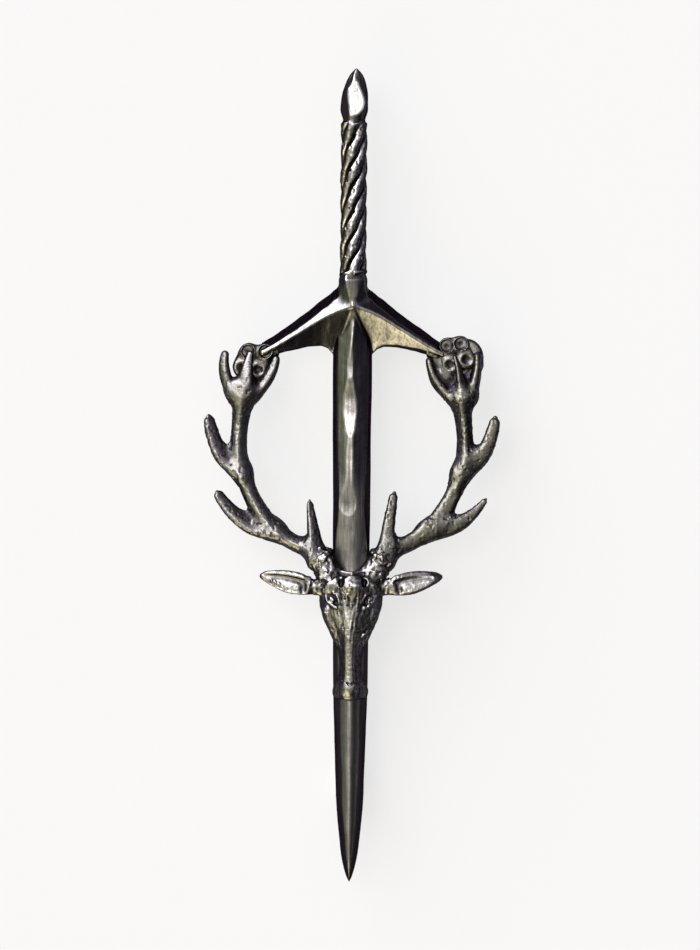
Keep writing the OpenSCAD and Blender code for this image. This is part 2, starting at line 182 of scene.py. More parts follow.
class Clay:
    """Signed distances in millimetres on a grid of cubes, negative inside."""

    # in cubes: room round a form, depth that roughening moves, and depth that the mesher gets
    margin, skin, band = 6, 2.5, 3.0

    def __init__(self, low, high, cube):
        self.cube = cube
        self.low = np.array(low, float)
        count = np.ceil(np.subtract(high, self.low) / cube).astype(int) + 1
        self.d = np.full(count, FAR, np.float32)

    def window(self, low, high, pad):
        """The part of the grid round a box, and its coordinates along each axis."""
        first = np.floor((np.subtract(low, pad) - self.low) / self.cube)
        last = np.ceil((np.add(high, pad) - self.low) / self.cube) + 1
        first, last = (np.clip(v.astype(int), 0, self.d.shape) for v in (first, last))
        part = tuple(slice(a, b) for a, b in zip(first, last))
        x, y, z = (self.low[i] + self.cube * np.arange(first[i], last[i]) for i in range(3))
        return part, x[:, None, None], y[None, :, None], z[None, None, :]

    def add(self, form, blend=0.0, sign=1):
        """Joins a form on, or cuts it out where sign is -1."""
        low, high, distance = form
        part, x, y, z = self.window(low, high, blend + self.margin * self.cube)
        if self.d[part].size:
            self.d[part] = sign * joined(sign * self.d[part], distance(x, y, z), blend)

    def cut(self, form, blend):
        self.add(form, blend, -1)

    def stand(self, blend):
        """Cuts away what lies below the flat back."""
        z = self.low[2] + self.cube * np.arange(self.d.shape[2])
        self.d = common(self.d, -z, blend)

    def mirror(self):
        """Turns left and right round."""
        self.low[0] = -(self.low[0] + self.cube * (self.d.shape[0] - 1))
        self.d = self.d[::-1].copy()

    def roughen(self, amount):
        """Moves the surface outwards by amount(x, y, z)."""
        near = np.nonzero(np.abs(self.d) < self.skin * self.cube)
        x, y, z = (self.low[i] + self.cube * near[i] for i in range(3))
        self.d[near] -= amount(x, y, z).astype(np.float32)

    def smoothed(self, reach):
        """The distances averaged over reach each way, along each axis twice."""
        d = np.clip(self.d, -FAR, FAR)
        n = max(1, round(reach / self.cube))
        for axis in (0, 1, 2) * 2:
            ends = [(0, 0)] * 3
            ends[axis] = (n + 1, n)
            total = np.cumsum(np.pad(d, ends, mode="edge"), axis=axis, dtype=np.float64)
            span = d.shape[axis]
            upper = np.take(total, range(2 * n + 1, 2 * n + 1 + span), axis=axis)
            lower = np.take(total, range(0, span), axis=axis)
            d = ((upper - lower) / (2 * n + 1)).astype(np.float32)
        return d

    def piece(self, name):
        """Mesh of the surface, in metres, with how far each point stands out of its surroundings."""
        grid = vdb.FloatGrid(self.band)
        grid.copyFromArray(np.clip(self.d / self.cube, -self.band, self.band), tolerance=0.0)
        points, quads = without_scraps(*grid.convertToQuads(isovalue=0.0))
        places = self.low + points * self.cube
        if outward(places, quads) < 0:
            quads = quads[:, ::-1]
        mesh = bpy.data.meshes.new(name)
        mesh.vertices.add(len(places))
        mesh.vertices.foreach_set("co", ((places + [0, 0, BACK]) * MM).astype(np.float32).ravel())
        mesh.loops.add(quads.size)
        mesh.loops.foreach_set("vertex_index", quads.astype(np.int32).ravel())
        mesh.polygons.add(len(quads))
        mesh.polygons.foreach_set("loop_start", np.arange(0, quads.size, 4, dtype=np.int32))
        mesh.polygons.foreach_set("use_smooth", np.ones(len(quads), bool))
        mesh.update(calc_edges=True)
        mesh.validate()
        for key, reach in RELIEF.items():
            relief = values_at(points, self.smoothed(reach) - self.d) / reach
            mesh.attributes.new(key, "FLOAT", "POINT").data.foreach_set("value", relief.astype(np.float32))
        return linked(name, mesh)


def linked(name, data):
    """New object of the data, in the scene."""
    obj = bpy.data.objects.new(name, data)
    bpy.context.scene.collection.objects.link(obj)
    return obj


def values_at(points, grid):
    """Values of a grid at points given in cubes, from the eight corners round each."""
    p = np.clip(points, 0, np.array(grid.shape) - 1.001)
    i = p.astype(int)
    t = p - i
    out = 0
    for step in np.ndindex(2, 2, 2):
        step = np.array(step[::-1])
        share = np.prod(np.where(step == 1, t, 1 - t), axis=1)
        j = i + step
        out = out + share * grid[j[:, 0], j[:, 1], j[:, 2]]
    return out


def without_scraps(points, quads):
    """The largest connected part of a mesh."""
    label = np.arange(len(points))
    while True:
        lowest = label.copy()
        for corner in range(4):
            np.minimum.at(lowest, quads[:, corner], label[quads].min(axis=1))
        lowest = lowest[lowest]
        if np.array_equal(lowest, label):
            break
        label = lowest
    parts, sizes = np.unique(label[quads[:, 0]], return_counts=True)
    kept = quads[label[quads[:, 0]] == parts[np.argmax(sizes)]]
    used, places = np.unique(kept, return_inverse=True)
    return points[used], places.reshape(kept.shape)


def outward(places, quads):
    """Six times the volume that the quads enclose, negative if they face inwards."""
    a, b, c, d = (places[quads[:, i]] for i in range(4))
    return float(np.sum(a * np.cross(b, c)) + np.sum(a * np.cross(c, d)))


# Forms: each is its lowest corner, its highest corner and its distance function


def ball(middle, radii, turn=0.0):
    """Ellipsoid turned by turn degrees about z."""
    middle, radii = np.array((middle, radii), float)
    turn = math.radians(turn)
    c, s = math.cos(turn), math.sin(turn)
    reach = radii.copy()
    reach[:2] = max(radii[:2])

    def size(places, radii):
        return np.sqrt(sum((v / r) ** 2 for v, r in zip(places, radii))) + 1e-6

    def distance(x, y, z):
        x, y, z = x - middle[0], y - middle[1], z - middle[2]
        turned = (x * c + y * s, y * c - x * s, z)
        first = size(turned, radii)
        return first * (first - 1) / size(turned, radii**2)

    return middle - reach, middle + reach, distance


def drum(middle, radius, low, high, soft):
    """Upright cylinder from height low to height high, with softened rims."""
    mx, my = middle

    def distance(x, y, z):
        side = np.sqrt((x - mx) ** 2 + (y - my) ** 2) - (radius - soft)
        end = np.abs(z - (low + high) / 2) - ((high - low) / 2 - soft)
        inside = np.minimum(np.maximum(side, end), 0)
        return inside + np.sqrt(np.maximum(side, 0) ** 2 + np.maximum(end, 0) ** 2) - soft

    return [mx - radius, my - radius, low], [mx + radius, my + radius, high], distance


def hoop(middle, radius, thick, high):
    """Ring that lies flat, whose height is high times its thickness."""
    mx, my, mz = middle

    def distance(x, y, z):
        side = np.sqrt((x - mx) ** 2 + (y - my) ** 2) - radius
        return np.sqrt(side**2 + ((z - mz) / high) ** 2) - thick

    reach = np.array([radius + thick, radius + thick, thick * high])
    return np.array(middle) - reach, np.array(middle) + reach, distance


def stroke(points, widths, ridge=2.0, wall=1.0, flat=1.0, skew=0.0, tilt=0.0):
    """Limb along points, with half widths. Ridge shapes its section: below 2 its top is sharp, and above 2
    it is broad. Wall below 1 makes it steep below its points, and flat is its height over its half width.
    Skew moves its top to the right of its run, and tilt lowers its right side."""
    p = np.array(points, float)
    r = np.broadcast_to(np.array(widths, float), len(p))
    out = float(r.max()) + 0.2
    low, high = p.min(0) - out, p.max(0) + out
    if wall < 1:
        low[2] = 0

    def distance(x, y, z):
        best = None
        for i in range(len(p) - 1):
            a, ab = p[i], p[i + 1] - p[i]
            length = math.hypot(ab[0], ab[1]) + 1e-9
            shift = skew * np.maximum(z - a[2], 0) / length
            dx = x - a[0] - shift * ab[1]
            dy = y - a[1] + shift * ab[0]
            t = np.clip((dx * ab[0] + dy * ab[1]) / length**2, 0, 1)
            side = np.sqrt((dx - t * ab[0]) ** 2 + (dy - t * ab[1]) ** 2)
            right = (dx * ab[1] - dy * ab[0]) / length
            up = z - (a[2] + t * ab[2]) + tilt * right
            up = np.where(up > 0, up / flat, -up * wall)
            d = (side**ridge + up**ridge) ** (1 / ridge) - (r[i] + t * (r[i + 1] - r[i]))
            best = d if best is None else np.minimum(best, d)
        return best

    return low, high, distance


def line(points, first, last, steps=5, **section):
    """Stroke along a smooth curve through points, with half widths from first to last."""
    points = spline(points, steps)
    return stroke(points, np.linspace(first, last, len(points)), **section)


def chain(clay, points, widths, blend=0.0, **section):
    """Adds a long stroke in short groups, so that each is worked out only where it lies."""
    room, group = 2.2, 4
    own = Clay(points.min(0) - room, points.max(0) + room, clay.cube)
    start = np.round((own.low - clay.low) / clay.cube).astype(int)
    own.low = clay.low + start * clay.cube
    for i in range(0, len(points) - 1, group):
        own.add(stroke(points[i : i + group + 1], widths[i : i + group + 1], **section))
    a = np.clip(start, 0, clay.d.shape)
    b = np.clip(start + own.d.shape, 0, clay.d.shape)
    there = tuple(slice(i, j) for i, j in zip(a, b))
    here = tuple(slice(i - s, j - s) for i, j, s in zip(a, b, start))
    clay.d[there] = joined(clay.d[there], own.d[here], blend)


def both(form):
    """A form and its mirror image on the left."""
    low, high, distance = form
    reach = max(abs(low[0]), abs(high[0]))
    return [-reach, *low[1:]], [reach, *high[1:]], lambda x, y, z: distance(np.abs(x), y, z)


def evened(f, cube):
    """A field divided by its steepness, so that it reads as a distance near its surface."""
    steep = np.sqrt(sum(np.gradient(f, cube, axis=i) ** 2 for i in range(3)))
    return f / np.maximum(steep, 0.25)


# Hilt: a pommel drawn to a point, and a grip of five twisted strands

POMMEL = [
    # distance from the point, radius
    (0.0, 0.06),
    (0.7, 0.62),
    (1.5, 1.03),
    (2.2, 1.27),
    (3.0, 1.54),
    (3.8, 1.72),
    (4.6, 1.8),
    (5.3, 1.76),
    (5.8, 1.58),
    (6.2, 1.42),
    (6.8, 1.36),
    (7.4, 1.3),
]
STRANDS = 5
TWIST_LEAD = 15.0
GRIP_R = 1.65


def pommel_form():
    """Swelling with four soft ridges towards its point, and flat facets in front and on the left."""
    radius = between(POMMEL, 1)
    axis_z = 1.7
    facet_y, facet_half = 46.2, 1.95

    def distance(x, y, z):
        along = TOP - y
        lean = 0.25 * fade(along, 5.5, 0.0)
        ridge = 0.16 * np.clip(1 - along / 4.3, 0, 1) - 0.06 * bell((along - 4.2) / 1.6)
        angle = np.arctan2(z - axis_z, x - lean)
        r = radius(along) * (1 + ridge * np.cos(4 * angle))
        d = (np.sqrt((x - lean) ** 2 + (z - axis_z) ** 2) - r) * 0.88
        d = np.maximum(d, -along * 0.6)
        v = (y - facet_y) / facet_half
        front = (z - 2.98 + 0.175 * v - 0.085 * v * v) * 0.97 - (x - 0.35) * 0.13
        left = -(x + 0.98) * 0.8 + (z - 2.55) * 0.6
        d = common(d, front, 0.12)
        d = common(d, left, 0.15)
        tip = (z - 1.75 + 0.68 * (y - TOP)) * 0.83
        return common(d, tip, 0.1)

    return [-1.9, GRIP_TOP - 0.6, 0], [1.9, TOP + 0.1, 3.6], distance


def grip_form():
    """Strands that twist round each other, with sharp grooves between them."""

    def distance(x, y, z):
        turn = np.arctan2(z - GRIP_R, x) + math.tau * (y - COLLAR_TOP) / TWIST_LEAD
        wobble = 0.05 * np.sin(y * 1.9 + 2 * turn)
        across = (turn / math.tau * STRANDS + wobble) % 1.0 * 2 - 1
        ends = np.minimum(1, np.minimum(GRIP_TOP - y, y - COLLAR_TOP) / 0.9 + 0.3)
        groove = 0.26 * across**2 + 0.3 * np.abs(across) ** 5
        r = GRIP_R - np.clip(ends, 0, 1) * groove
        d = (np.sqrt(x**2 + (z - GRIP_R) ** 2) - r) * 0.72
        end = np.maximum(y - GRIP_TOP - 0.15, COLLAR_TOP - 0.4 - y)
        return common(d, end, 0.3)

    return [-1.8, COLLAR_TOP - 0.5, 0], [1.8, GRIP_TOP + 0.3, 3.4], distance


def grip_band():
    """Band that rings the grip's foot, a little aslant."""

    def distance(x, y, z):
        out = np.sqrt(x**2 + (z - GRIP_R) ** 2) - 1.42
        return np.sqrt(out**2 + (y - COLLAR_TOP - 0.42 - 0.1 * x) ** 2) - 0.3

    return [-1.8, COLLAR_TOP - 0.3, 0], [1.8, COLLAR_TOP + 1.1, 3.5], distance


def make_hilt():
    """Grip, its band and the pommel."""
    clay = Clay([-2.6, COLLAR_TOP - 1.6, -0.6], [2.6, TOP + 0.6, 4.1], cube=0.08)
    clay.add(grip_form())
    clay.add(grip_band(), 0.08)
    clay.add(pommel_form(), 0.25)

    def amount(x, y, z):
        on_grip = fade(GRIP_TOP - y, -0.2, 0.6)
        uneven = lumps(x, y * 0.6, z, 0.9, 3) * 0.035 + lumps(x, y, z, 0.34, 4) * 0.018
        pits = fade(lumps(x, y, z, 0.42, 5), 0.45, 0.8) * 0.07
        return uneven * (0.25 + 0.75 * on_grip) - pits * (0.15 + 0.85 * on_grip)

    clay.roughen(amount)
    return clay.piece("hilt")


# Guard and blade

COLLAR = [
    # height up the pin; half width, half width of the front flat, height of the shoulder and of the front
    (PEAK - 0.3, 2.0, 0.05, 1.9, 3.15),
    (PEAK, 1.96, 0.07, 1.96, 3.22),
    (PEAK + 1.08, 1.75, 0.42, 2.31, 3.36),
    (PEAK + 2.16, 1.71, 0.7, 2.45, 3.43),
    (PEAK + 3.17, 1.75, 0.87, 2.52, 3.5),
    (PEAK + 3.6, 1.64, 0.84, 2.45, 3.33),
    (PEAK + 4.1, 1.4, 0.7, 2.3, 3.0),
]
ARM_END = 11.2  # reach at which the arms are cut off
ARM = [
    # reach from the middle; heights along the pin of the lower edge, the ridge and the upper edge;
    # height of the ridge above the back, and how steep the lower and the upper face are
    (0.0, 14.5, 20.8, 23.4, 3.3, 0.58, 0.66),
    (1.2, 14.5, 20.42, 22.8, 3.2, 0.58, 0.64),
    (2.35, 14.5, 19.97, 22.1, 3.08, 0.58, 0.6),
    (2.6, 15.0, 19.85, 21.85, 3.05, 0.58, 0.58),
    (3.0, 15.5, 19.66, 21.5, 3.0, 0.58, 0.56),
    (3.8, 15.83, 19.22, 20.95, 2.9, 0.6, 0.54),
    (5.5, 15.7, 18.18, 19.55, 2.7, 0.62, 0.52),
    (7.9, 15.2, 16.7, 17.8, 2.44, 0.68, 0.52),
    (9.84, 14.65, 15.55, 16.4, 2.18, 0.75, 0.54),
    (11.1, 14.3, 14.9, 15.6, 1.98, 0.8, 0.56),
]
BLADE_END = 70.85  # distance from the peak at which the blade is cut off
PATCH_Y, PATCH_REACH = 7.0, 2.6  # middle of the worn patch up the pin, and half its length
BLADE = [
    # distance from the peak, half width, ridge height, edge height, roundness
    (-1.0, 2.2, 2.74, 0.95, 0.1),
    (0.0, 2.25, 2.74, 0.95, 0.1),
    (2.5, 2.37, 2.66, 0.95, 0.1),
    (5.7, 2.45, 2.5, 0.95, 0.12),
    (14.2, 2.42, 2.42, 0.95, 0.15),
    (20.7, 2.36, 2.38, 1.1, 0.35),
    (24.7, 2.32, 2.2, 1.35, 0.9),
    (28.7, 2.28, 1.95, 1.2, 1.1),
    (32.7, 2.24, 1.72, 1.0, 1.1),
    (38.0, 2.2, 2.32, 1.2, 1.0),
    (48.1, 2.1, 2.33, 0.6, 0.7),
    (53.5, 1.97, 2.28, 0.6, 0.7),
    (58.1, 1.8, 2.21, 0.6, 0.7),
    (60.9, 1.7, 2.14, 0.62, 0.7),
    (63.2, 1.52, 2.02, 0.76, 0.75),
    (65.7, 1.27, 1.85, 0.69, 0.75),
    (67.0, 1.12, 1.7, 0.64, 0.75),
    (68.1, 0.93, 1.54, 0.58, 0.75),
    (69.4, 0.62, 1.27, 0.48, 0.75),
    (70.4, 0.28, 1.0, 0.38, 0.8),
    (70.8, 0.08, 0.86, 0.32, 0.8),
]


def collar_form():
    """Block below the grip, with a narrow front between two slanting flanks."""
    wide, front, shoulder, top = (straight(COLLAR, i) for i in (1, 2, 3, 4))

    def distance(x, y, z):
        w, f, s, h = wide(y), front(y), shoulder(y), top(y)
        side = np.abs(x) - w
        run, rise = w - f, h - s
        length = np.sqrt(run**2 + rise**2)
        flank = (side * rise + (z - s) * run) / length
        front_z = h + 0.04 * x - 0.22 * np.maximum(x + 0.3, 0) ** 2
        d = common(common(side, flank, 0.12), z - front_z, 0.1)
        return np.maximum(d, np.maximum(y - PEAK - 4.0, PEAK - 0.3 - y))

    return [-2.1, PEAK - 0.4, 0], [2.1, PEAK + 4.1, 3.6], distance


def arm_form():
    """Both arms of the guard: two faces that meet in a ridge, with a steep bevel along the upper edge."""
    ridge_y, ridge_z = between(ARM, 2), between(ARM, 4)
    low_y, high_y, below, above = (straight(ARM, i) for i in (1, 3, 5, 6))

    def distance(x, y, z):
        a = np.abs(x)
        low, ridge, high, top = low_y(a), ridge_y(a), high_y(a), ridge_z(a)
        lower = (z - top + below(a) * (ridge - y)) / np.sqrt(1 + 1.3 * below(a) ** 2)
        upper = (z - top + above(a) * (y - ridge)) / np.sqrt(1 + 1.3 * above(a) ** 2)
        bevel = (y - high) * 0.77 + (z - 1.2) * 0.45
        side = (low - y) * 0.86 + np.clip(z - 0.6, 0, 1) * 0.2
        d = common(common(common(lower, upper, 0.28), bevel, 0.1), side, 0.2)
        return np.maximum(d, a - ARM_END)

    return [-11.4, 13.3, 0], [11.4, 23.6, 3.4], distance


def apex_form():
    """Small face that falls from the guard's peak to where the blade's ridge begins."""

    def distance(x, y, z):
        s = PEAK - y
        top = 3.27 - 0.42 * s - 0.9 * np.maximum(np.abs(x) - 0.38 * s, 0)
        return np.maximum((z - top) * 0.85, np.maximum(-s, s - 3.5))

    return [-2.2, PEAK - 3.5, 0], [2.2, PEAK + 0.1, 3.4], distance


def blade_form():
    """Two faces that meet in a narrow flat ridge, with a steep bevel along both edges and one worn patch."""
    wide, top, edge, round_ = (between(BLADE, i) for i in (1, 2, 3, 4))

    def distance(x, y, z):
        s = PEAK - y
        w, h, e = wide(s), top(s), edge(s)
        share = np.clip(np.abs(x) / w, 0, 1)
        ridge_x = 0.08 * np.sin(s * 0.55) * fade(s, 30.0, 8.0)
        ridge_x = ridge_x - 0.15 * fade(s, 1.5, 5.0) * fade(s, 27.0, 20.0)
        ridge_x = ridge_x + 0.35 * fade(s, 22.0, 28.0) * fade(s, 40.0, 34.0)
        u = np.clip(np.abs(x - ridge_x * (1 - share)) / w, 0, 1.2)
        power = 1.04 + 0.85 * round_(s)
        crown = e + (h - e) * (1 - u**power)
        flat = h - 0.13 * (0.3 + 0.7 * fade(s, 4.0, 9.0)) + 0.17 * (x - ridge_x) - 0.03 * np.sin(s * 1.1)
        crown = np.minimum(crown, flat + 0.4 * fade(s, 24.0, 28.0))
        worn = (y - PATCH_Y) / PATCH_REACH
        ends = np.where(worn > 0, worn**2, worn**4)
        patch = 2.06 + 0.16 * (x + 0.2) - 0.07 * (y - PATCH_Y) + 0.18 * ends + 0.01 * np.sin(y * 3.1)
        crown = joined(crown, patch, 0.06)
        slope = (h - e) / w * power * np.maximum(u, 0.15) ** (power - 1)
        d = (z - crown) / np.sqrt(1 + slope**2)
        foot = 0.2 + 0.6 * fade(s, 24.0, 30.0) * fade(s, 52.0, 46.0)
        bevel = (np.abs(x) - w) * 0.9 + (z - foot) * 0.43
        d = common(common(d, bevel, 0.12), np.abs(x) - w, 0.1)
        return np.maximum(d, (s - BLADE_END) * 0.9)

    return [-2.6, POINT - 0.1, 0], [2.6, PEAK + 0.9, 2.8], distance


def make_guard_blade():
    """Blade, guard and collar."""
    clay = Clay([-12.3, POINT - 0.6, -0.6], [12.3, COLLAR_TOP + 1.0, 4.1], cube=0.114)
    clay.add(blade_form())
    clay.add(arm_form(), 0.15)
    clay.add(apex_form(), 0.1)
    clay.add(collar_form(), 0.5)
    clay.stand(0.25)

    def amount(x, y, z):
        hand_work = lumps(x * 1.2, y * 0.45, z, 2.1, 11) * 0.04 * fade(y, -14, 2)
        ripple = lumps(x * 2.0, y * 0.3, z, 1.1, 12) * 0.02
        pits = fade(lumps(x, y, z, 0.4, 13), 0.72, 0.9) * 0.015 * fade(y, -2, 0) * fade(y, 9, 7)
        return hand_work + ripple - pits

    clay.roughen(amount)
    return clay.piece("guard_blade")


# Quatrefoils: four rings with dimples at each end of the guard

LOBES = {
    # middle of each side's rings, how far out from the pin's middle and how far up
    1: [(11.6, 15.95), (13.3, 16.2), (14.05, 14.25), (12.0, 13.6)],
    -1: [(10.75, 15.1), (12.85, 15.1), (13.65, 13.1), (11.6, 12.85)],
}


def make_quatrefoil(side, name):
    """Four lobes on a hub. The upper two have thin rims and deeper dimples."""
    middle = side * 12.5
    clay = Clay([middle - 3.4, FOIL - 3.8, -0.5], [middle + 3.4, FOIL + 3.8, 3.2], cube=0.07)
    lobes = [(side * x, y) for x, y in LOBES[side]]
    hub_x, hub_y = np.mean(lobes, axis=0)
    clay.add(drum((hub_x, hub_y - 0.6), 2.3, 0.0, 1.2, 0.3))
    clay.add(drum((hub_x, hub_y), 1.9, 0.0, 1.5, 0.3), 0.4)
    for i, lobe in enumerate(lobes):
        clay.add(drum(lobe, 0.98, 0.0, 1.68 if i < 2 else 1.52, 0.3), 0.6)
    for x, y in lobes[:2]:
        clay.add(hoop((x, y, 1.72), 0.86, 0.06, 2.0), 0.06)
        clay.cut(drum((x, y), 0.76, 1.56, 3.0, 0.12), 0.1)
        clay.cut(ball((x, y, 1.82), (0.42, 0.42, 0.32)), 0.15)
    for x, y in lobes[2:]:
        clay.cut(ball((x, y, 1.66), (0.52, 0.52, 0.34)), 0.3)
    # stub that meets the guard's arm
    stub = [(side * 9.3, 15.3, 1.1), (side * 10.3, 14.9, 0.9)]
    clay.add(stroke(stub, 0.75, ridge=1.7, wall=0.4), 0.3)
    clay.stand(0.2)

    def amount(x, y, z):
        return lumps(x, y, z, 0.7, 21 + side) * 0.03 + lumps(x, y, z, 0.3, 23 + side) * 0.02

    clay.roughen(amount)
    return clay.piece(name)


# Antlers

BEAM = [
    # x and y of the right beam's middle, its height and its half width
    (3.64, -10.65, 2.5, 1.2),
    (4.52, -9.65, 2.3, 1.15),
    (5.53, -9.0, 2.1, 1.1),
    (6.53, -8.57, 1.95, 1.05),
    (7.51, -8.09, 1.8, 1.03),
    (9.4, -6.84, 1.55, 1.1),
    (11.0, -4.9, 1.35, 1.09),
    (12.29, -2.69, 1.25, 1.0),
    (13.2, -0.51, 1.15, 1.02),
    (13.82, 1.85, 1.1, 1.11),
    (13.9, 4.31, 1.1, 1.01),
    (13.76, 6.17, 1.1, 1.03),
    (13.55, 8.0, 1.15, 1.18),
    (13.4, 9.2, 1.15, 1.3),
]
# Sections of beams and tines: with a ridge along the top, or broad with a slanting top
RIDGED = {"ridge": 1.6, "wall": 0.3, "flat": 1.0}
BROAD = {"ridge": 3.0, "wall": 0.3, "flat": 0.8, "tilt": 0.11}
TINE_STEPS = 20
# Brow, lower and upper tine of each side: four points that lead its curve, and its half width at the
# root, in the middle and near the tip
TINES = {
    1: [
        [(4.2, -10.6, 2.3), (4.3, -8.4, 2.6), (4.55, -5.6, 2.7), (5.25, -2.2, 2.6), 1.1, 0.82, 0.5],
        [(9.3, -6.7, 1.4), (12.0, -7.3, 1.4), (15.0, -5.1, 1.2), (16.5, -2.85, 1.4), 1.05, 0.95, 0.32],
        [(13.4, 0.3, 1.0), (15.5, 1.4, 1.0), (16.95, 3.0, 1.2), (17.6, 7.1, 1.35), 1.1, 1.02, 0.68],
    ],
    -1: [
        [(4.2, -10.6, 2.3), (4.35, -8.6, 2.6), (4.8, -6.0, 2.7), (5.15, -3.2, 2.6), 1.1, 0.8, 0.36],
        [(9.3, -6.7, 1.4), (12.0, -7.4, 1.4), (15.0, -4.7, 1.2), (16.5, -2.24, 1.4), 1.1, 1.0, 0.6],
        [(13.4, 0.3, 1.0), (15.5, 1.4, 1.0), (16.95, 3.0, 1.2), (17.62, 7.1, 1.35), 1.1, 1.02, 0.68],
    ],
}
# Outer, middle and inner tine of each side's crown
CROWN_TINES = {
    1: [
        [(14.3, 9.3, 1.2), (15.3, 11.7, 1.3), (15.5, 13.5, 1.4), (15.3, 14.95, 1.5), 0.8, 0.55, 0.36],
        [(13.5, 8.7, 1.3), (13.45, 11.6, 1.95), (13.0, 13.4, 2.25), (12.5, 14.9, 2.1), 0.85, 0.45, 0.22],
        [(12.26, 9.5, 1.2), (10.2, 11.4, 1.3), (9.6, 13.0, 1.4), (9.4, 14.3, 1.4), 0.8, 0.62, 0.4],
    ],
    -1: [
        [(14.3, 9.3, 1.2), (15.86, 11.7, 1.3), (16.0, 13.5, 1.4), (15.62, 14.95, 1.5), 0.8, 0.68, 0.45],
        [(13.4, 8.7, 0.9), (13.35, 10.8, 2.3), (13.0, 13.4, 1.95), (12.55, 14.95, 1.75), 1.1, 0.86, 0.3],
        [(12.26, 9.5, 1.2), (10.3, 11.6, 1.3), (9.67, 13.0, 1.4), (9.38, 14.4, 1.4), 0.8, 0.7, 0.45],
    ],
}


def add_tine(clay, tine, blend, **section):
    """Adds a tine from its row in a table, with a blunt round end."""
    *leads, root, middle, tip = tine
    t = np.linspace(0, 1, TINE_STEPS)
    widths = np.interp(t, [0, 0.5, 1], [root, middle, tip])
    widths = widths * np.sqrt(np.clip(1 - ((t - 0.92) / 0.09).clip(0, 1) ** 2, 0.05, 1))
    chain(clay, bezier(*leads, TINE_STEPS), widths, blend, **section)


def add_beam(clay, side):
    """Main branch of an antler with its three tines. The right one is broad up to its crown."""
    beam = spline([row[:3] for row in BEAM], 4)
    widths = np.interp(np.linspace(0, 1, len(beam)), np.linspace(0, 1, len(BEAM)), [row[3] for row in BEAM])
    if side > 0:
        change, overlap = 30, 4
        chain(clay, beam[: change + overlap], widths[: change + overlap], **BROAD)
        chain(clay, beam[change:], widths[change:], 0.3, **RIDGED)
    else:
        chain(clay, beam, widths, skew=0.12, **RIDGED)
    for tine in TINES[side]:
        add_tine(clay, tine, 1.3, **(BROAD if side > 0 else {"skew": 0.5, **RIDGED}))


def add_crown(clay, side):
    """Cup that holds the quatrefoil between its tines, which go on over it."""
    cups = {1: ((13.6, 10.0, 1.1), (2.0, 1.8, 1.25)), -1: ((13.45, 10.3, 1.25), (2.35, 1.9, 1.35))}
    clay.add(ball(*cups[side]), 1.0)
    for tine in CROWN_TINES[side]:
        add_tine(clay, tine, 0.4, **RIDGED)
    clay.cut(ball((13.2, 13.6, 3.2), (2.1, 2.7, 1.9)), 0.3)
    for i, tine in enumerate(CROWN_TINES[side]):
        if side < 0 and i == 1:
            add_tine(clay, tine, 0.5, ridge=2.6, wall=0.3, flat=0.85, tilt=0.2)
        else:
            add_tine(clay, tine, 0.2, skew=-0.3, **RIDGED)


def add_web(clay):
    """Web that fills the right crown between its tines, and the shoulder beside its outer one."""
    clay.add(drum((12.35, 12.6), 2.95, 0.0, 1.14, 0.4), 0.4)
    web = [(10.1, 14.6, 0.9), (11.1, 12.4, 0.9), (12.2, 10.6, 0.9)]
    clay.add(stroke(web, [0.8, 1.35, 1.0], ridge=3.2, wall=0.3, flat=0.55, tilt=-0.08), 0.3)
    shoulder = [(13.6, 16.2, 0.9), (14.7, 15.9, 0.9), (15.3, 15.0, 0.9), (15.4, 13.6, 0.9)]
    clay.add(line(shoulder, 0.75, 0.75, 3, ridge=2.6, wall=0.3, flat=0.7), 0.3)


def make_antler(side, name):
    """Both antlers are shaped on the right, and the left one is then turned round."""
    seed = 31 if side > 0 else 37
    clay = Clay([2.0, -13.2, -0.5], [19.0, 17.2, 4.7], cube=0.085)
    add_beam(clay, side)
    add_crown(clay, side)
    if side > 0:
        add_web(clay)
    clay.stand(0.25)

    def amount(x, y, z):
        bark = lumps(x, y, z, 0.8, seed) * 0.03 + lumps(x, y, z, 0.33, seed + 1) * 0.02
        pearls = fade(lumps(x, y, z, 0.42, seed + 2), 0.5, 0.8) * 0.05
        pits = fade(lumps(x, y, z, 0.38, seed + 3), 0.45, 0.75) * 0.08
        calm = 1 - 0.5 * fade(y, 9, 12)
        return (bark + pearls - pits) * calm

    clay.roughen(amount)
    if side < 0:
        clay.mirror()
    return clay.piece(name)


# Stag's head

HEAD = [
    # distance from the crown, half width, height, squareness of the section
    (-0.3, 2.35, 2.4, 2.2),
    (0.0, 2.55, 2.8, 2.2),
    (0.9, 3.16, 3.6, 2.3),
    (1.8, 3.5, 4.5, 2.4),
    (2.9, 3.75, 5.2, 2.4),
    (4.3, 3.85, 5.3, 2.4),
    (5.5, 3.78, 5.28, 2.4),
    (6.9, 3.45, 5.2, 2.3),
    (7.8, 3.1, 5.12, 2.2),
    (8.7, 2.7, 5.03, 2.0),
    (9.6, 2.3, 4.93, 1.75),
    (10.5, 1.92, 4.8, 1.55),
    (11.4, 1.65, 4.68, 1.45),
    (12.6, 1.5, 4.52, 1.5),
    (14.3, 1.6, 4.35, 1.5),
    (15.3, 1.95, 4.3, 1.7),
    (16.0, 2.2, 4.15, 2.0),
    (16.6, 2.15, 3.85, 2.2),
    (17.0, 1.95, 3.4, 2.3),
    (17.25, 1.6, 2.6, 2.3),
]
SKULL_FOOT = 0.8  # height above the back at which the sides of the head begin to lean in


def brow_planes(x, t, tall):
    """Height of the two planes that lean away from the ridge along the forehead."""
    lean = 0.4 + 0.6 * fade(t, 8.0, 11.0)
    broad = 0.15 + 0.65 * fade(t, 9.5, 6.5)
    left = lean * np.maximum(-x, 0)
    right = 0.1 * np.clip(x, 0, broad) + (lean + 0.15) * np.maximum(x - broad, 0)
    return tall - left - right


